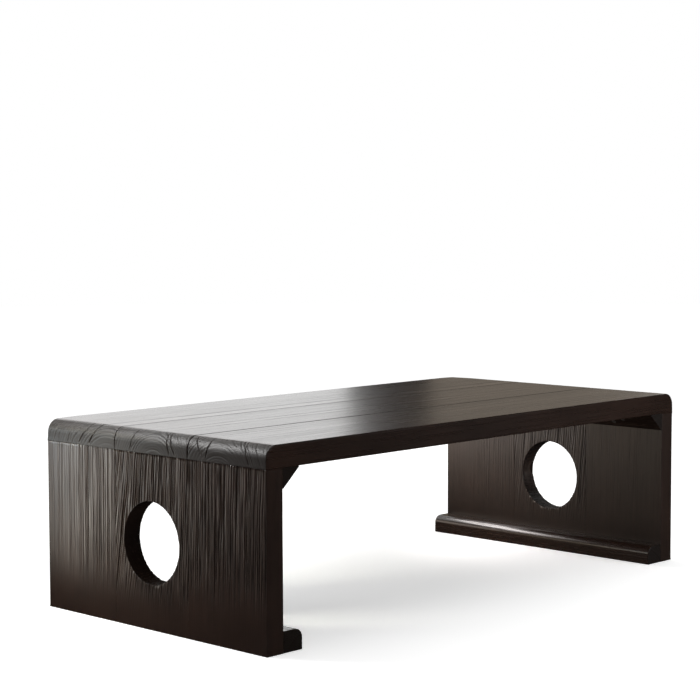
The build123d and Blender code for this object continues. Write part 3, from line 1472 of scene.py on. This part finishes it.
@dataclass
class Joinery:
    """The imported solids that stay: tongues, tenons, dowels, screws and plugs."""

    upright: PlainCoat = BARE_WOOD
    lengthwise: PlainCoat = replace(BARE_WOOD, name="bare_wood_lengthwise", run=Run.LENGTH)
    steel: PlainCoat = PLATED_STEEL
    plug: PlainCoat = PLUG_WOOD

    def dress(self) -> list[bpy.types.Object]:
        """Gives each kept node its own finish.

        Returns:
            The kept nodes.
        """
        coats = (self.upright, self.lengthwise, self.steel, self.plug)
        upright, lengthwise, steel, plug = (coat.material() for coat in coats)
        finishes = {"screws": steel, "plugs": plug, "dowels": lengthwise, "top_tongue": lengthwise}
        kept = {name: node for name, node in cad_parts.items() if not node.hide_render}
        for name, node in kept.items():
            material = next((finish for word, finish in finishes.items() if word in name), upright)
            if not node.data.materials:
                node.data.materials.append(material)
            for slot in node.material_slots:
                slot.material = material
        return list(kept.values())


# --- Studio ---


@dataclass(frozen=True)
class Softbox:
    """A soft rectangular light, aimed at a spot."""

    name: str
    place: Spot
    aim: Spot
    size: Span
    glow: float
    colour: Colour = (1.0, 1.0, 1.0)
    beam: float = 180.0

    def hang(self) -> bpy.types.Object:
        """Makes the light and turns it to its spot.

        Returns:
            The light.
        """
        light = bpy.data.lights.new(self.name, "AREA")
        light.shape = "RECTANGLE"
        light.size, light.size_y = self.size
        light.energy = self.glow * math.pi * self.size[0] * self.size[1]
        light.color = self.colour
        light.spread = math.radians(self.beam)
        made = enter(self.name, light)
        made.location = self.place
        made.rotation_mode = "QUATERNION"
        made.rotation_quaternion = (Vector(self.aim) - Vector(self.place)).to_track_quat("-Z", "Y")
        made.visible_camera = False
        return made


SOFTBOXES: tuple[Softbox, ...] = (
    Softbox("window_light", (-0.3, 1.9, 1.95), (0.0, 0.0, 0.3), (1.9, 0.8), 1.43, (0.96, 1.0, 1.0)),
    Softbox("low_card", (0.976, 1.796, 0.85), (0.0, 0.1, 0.3), (1.24, 1.1), 1.76),
    Softbox("corner_card", (1.85, 0.93, 0.7), (0.3, 0.0, 0.3), (0.9, 0.9), 0.36, (1.0, 0.86, 0.70)),
    Softbox("round_card", (-0.72, 0.55, 0.75), (-0.5, -0.1, 0.28), (0.25, 0.25), 1.65, beam=60.0),
    Softbox("round_front", (-0.80, 0.30, 0.60), (-0.5, -0.18, 0.28), (0.15, 0.2), 1.7, beam=40.0),
    Softbox("side_high", (-0.80, 0.62, 0.30), (-0.5, 0.20, 0.22), (0.2, 0.25), 0.36, (0.74, 0.88, 1.0), 40.0),
    Softbox("side_far", (-1.0, 0.42, 0.50), (-0.5, 0.18, 0.22), (0.25, 0.25), 2.35, (1.0, 0.98, 0.86), 40.0),
    Softbox("side_card", (-0.72, 0.50, 0.20), (-0.5, 0.25, 0.18), (0.16, 0.3), 0.37, (0.80, 0.96, 1.0), 90.0),
    Softbox("side_low", (-0.70, 0.38, 0.16), (-0.5, 0.12, 0.20), (0.08, 0.25), 0.55, (1.0, 0.93, 0.80), 60.0),
    Softbox("back_card", (0.10, 0.60, 0.16), (0.47, 0.0, 0.14), (0.4, 0.2), 1.87, (1.0, 0.88, 0.77)),
    Softbox("back_glow", (-0.60, 0.60, 0.14), (0.47, -0.05, 0.16), (0.4, 0.2), 0.20, (1.0, 0.81, 0.6), 60.0),
    Softbox("rail_card", (0.33, 0.265, 0.24), (0.44, 0.0, 0.03), (0.26, 0.12), 3.1, (1.0, 0.93, 0.91), 90.0),
    Softbox("right_fill", (2.4, 0.5, 0.8), (0.5, 0.0, 0.2), (0.9, 0.7), 2.0),
    Softbox("front_card", (1.0, -2.0, 0.5), (0.45, -0.25, 0.2), (0.6, 0.6), 0.70, (0.94, 0.98, 1.0), 40.0),
)


@dataclass
class Studio:
    """Camera, pale floor and soft lights round the table. Angles are degrees."""

    eye: Spot = (-2.2832, -2.1208, 0.6325)
    yaw: float = 46.236
    pitch: float = -4.398
    roll: float = -0.171
    lens: float = 95.897
    sensor: float = 36.0
    clip: Span = (0.05, 60.0)
    floor_radius: float = 9.0
    floor_sides: int = 96
    gloss_glow: float = 0.01
    soft_glow: float = 0.15
    camera_glow: float = 1.0
    sky: float = 1.4
    sky_angle: float = 70.0
    softboxes: tuple[Softbox, ...] = SOFTBOXES

    def set_camera(self) -> None:
        """Places the camera and makes it the scene's own."""
        yaw, pitch, roll = (math.radians(angle) for angle in (self.yaw, self.pitch, self.roll))
        forward = Vector((math.cos(pitch) * math.sin(yaw), math.cos(pitch) * math.cos(yaw), math.sin(pitch)))
        level = Vector((math.cos(yaw), -math.sin(yaw), 0.0))
        upright = level.cross(forward)
        right = level * math.cos(roll) + upright * math.sin(roll)
        up = upright * math.cos(roll) - level * math.sin(roll)
        data = bpy.data.cameras.new("camera")
        data.lens, data.sensor_width = self.lens, self.sensor
        data.clip_start, data.clip_end = self.clip
        camera = enter("camera", data)
        turned = Matrix((right, up, -forward)).transposed()
        camera.matrix_world = Matrix.Translation(self.eye) @ turned.to_4x4()
        bpy.context.scene.camera = camera

    def lay_floor(self) -> None:
        """Lays the round pale floor that the table stands on."""
        wide = self.floor_radius
        turns = [2 * math.pi * i / self.floor_sides for i in range(self.floor_sides)]
        spots = [(wide * math.cos(turn), wide * math.sin(turn), 0.0) for turn in turns]
        mesh = bpy.data.meshes.new("studio_floor")
        mesh.from_pydata(spots, [], [list(range(self.floor_sides))])
        mesh.materials.append(StageFinish("pale_floor").material())
        floor = enter("studio_floor", mesh)
        floor.visible_glossy = False

    def light_world(self) -> None:
        """Surrounds the stage with white, which lights matt surfaces well and polished ones little."""
        world = bpy.data.worlds.new("studio_world")
        world.use_nodes = True
        tree = world.node_tree
        tree.nodes.clear()
        path = tree.nodes.new("ShaderNodeLightPath")
        output = tree.nodes.new("ShaderNodeOutputWorld")
        shade = self._backdrop(tree, self.soft_glow)
        for kind, glow in (("Is Glossy Ray", self.gloss_glow), ("Is Camera Ray", self.camera_glow)):
            mix = tree.nodes.new("ShaderNodeMixShader")
            tree.links.new(path.outputs[kind], mix.inputs[0])
            tree.links.new(shade, mix.inputs[1])
            tree.links.new(self._backdrop(tree, glow), mix.inputs[2])
            shade = mix.outputs[0]
        tree.links.new(shade, output.inputs["Surface"])
        bpy.context.scene.world = world

    @staticmethod
    def _backdrop(tree: bpy.types.NodeTree, glow: float) -> bpy.types.NodeSocket:
        """Adds an even white background.

        Args:
            tree: The world's nodes.
            glow: The background's strength.

        Returns:
            Its output.
        """
        made = tree.nodes.new("ShaderNodeBackground")
        made.inputs["Color"].default_value = (1.0, 1.0, 1.0, 1.0)
        made.inputs["Strength"].default_value = glow
        return made.outputs[0]

    def light_sky(self) -> None:
        """Adds an even soft light from straight above."""
        light = bpy.data.lights.new("sky_light", "SUN")
        light.energy = self.sky
        light.angle = math.radians(self.sky_angle)
        enter("sky_light", light)

    def build(self) -> None:
        """Sets up the whole studio."""
        bpy.context.scene.view_settings.view_transform = "Standard"
        self.set_camera()
        self.lay_floor()
        self.light_world()
        self.light_sky()
        for softbox in self.softboxes:
            softbox.hang()


def main() -> None:
    """Builds the studio and the table, part by part, and reports each piece."""
    logging.basicConfig(level=logging.INFO, format="%(message)s")
    Studio().build()
    top = BrushedWood(
        "top_finish",
        Run.LENGTH,
        ridge_roughness=0.28,
        valley_roughness=0.36,
        end_roughness=0.48,
        valley_specular=0.38,
        end_specular=0.36,
    )
    panel = BrushedWood("panel_finish", Run.HEIGHT)
    strip = BrushedWood(
        "strip_finish",
        Run.DEPTH,
        ridge_roughness=0.24,
        valley_roughness=0.34,
        ridge_specular=0.8,
        valley_specular=0.3,
    )
    # The haunches' copy of the wood, about half as dark and duller: painted shade for the shade under the
    # top.
    corner = BrushedWood(
        "corner_finish",
        Run.DEPTH,
        ridge=(0.0100, 0.0050, 0.0032),
        valley=(0.0050, 0.0026, 0.0017),
        ridge_roughness=0.5,
        ridge_specular=0.08,
        crest_gloss=1.0,
    )
    pieces = TableTop(top.material()).build()
    coats = [finish.material() for finish in (panel, strip, corner)]
    for end in End:
        pieces += EndPanel(end, coats[0]).build()
        # The haunch takes the darker copy, with its painted shade.
        pieces += CornerHaunch(end, coats[2]).build()
        pieces += FootRail(end, coats[1]).build()
    pieces += Joinery().dress()
    for piece in pieces:
        log.info("%s: %d faces, %s", piece.name, len(piece.data.polygons), piece.data.materials[0].name)


if __name__ == "__main__":
    main()
